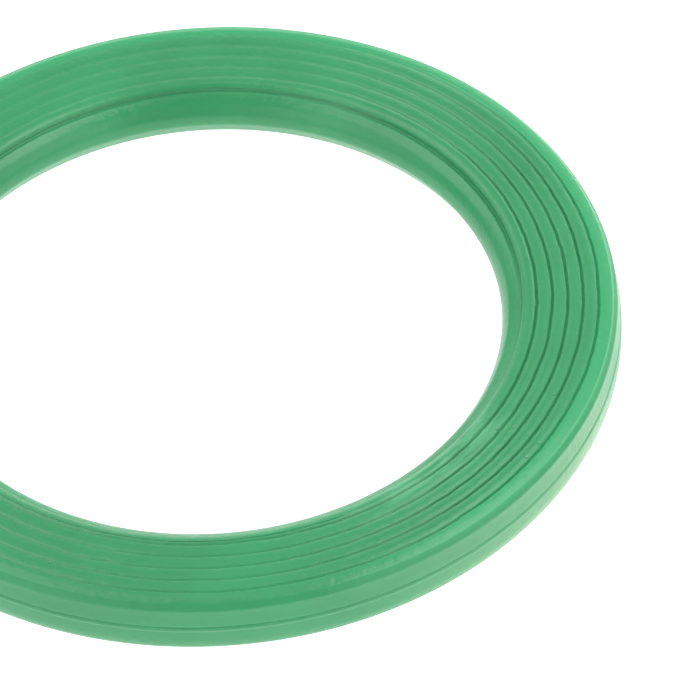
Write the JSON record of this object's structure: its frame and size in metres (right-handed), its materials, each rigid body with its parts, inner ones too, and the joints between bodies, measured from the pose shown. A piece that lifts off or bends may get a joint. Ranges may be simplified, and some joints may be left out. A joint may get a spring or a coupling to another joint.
{
  "type": "blender seal ring",
  "caption": "Flat moulded rubber seal ring with ring grooves in its top face, a bevelled outer edge, a parting line round its wall and a round gripping bead inside the hole.",
  "frame": {"origin": "centre of the hole, on the plane of the underside that the ring rests on", "axes": "+Z along the hole's axis, out of the grooved top face; +X and +Y across the ring, which is the same all the way round"},
  "size_m": [0.0806, 0.0806, 0.006],
  "materials": {
    "green_rubber": "satin, slightly translucent moulded rubber"
  },
  "bodies": {
    "root": {"seal_ring": "green_rubber"}
  },
  "joints": []
}
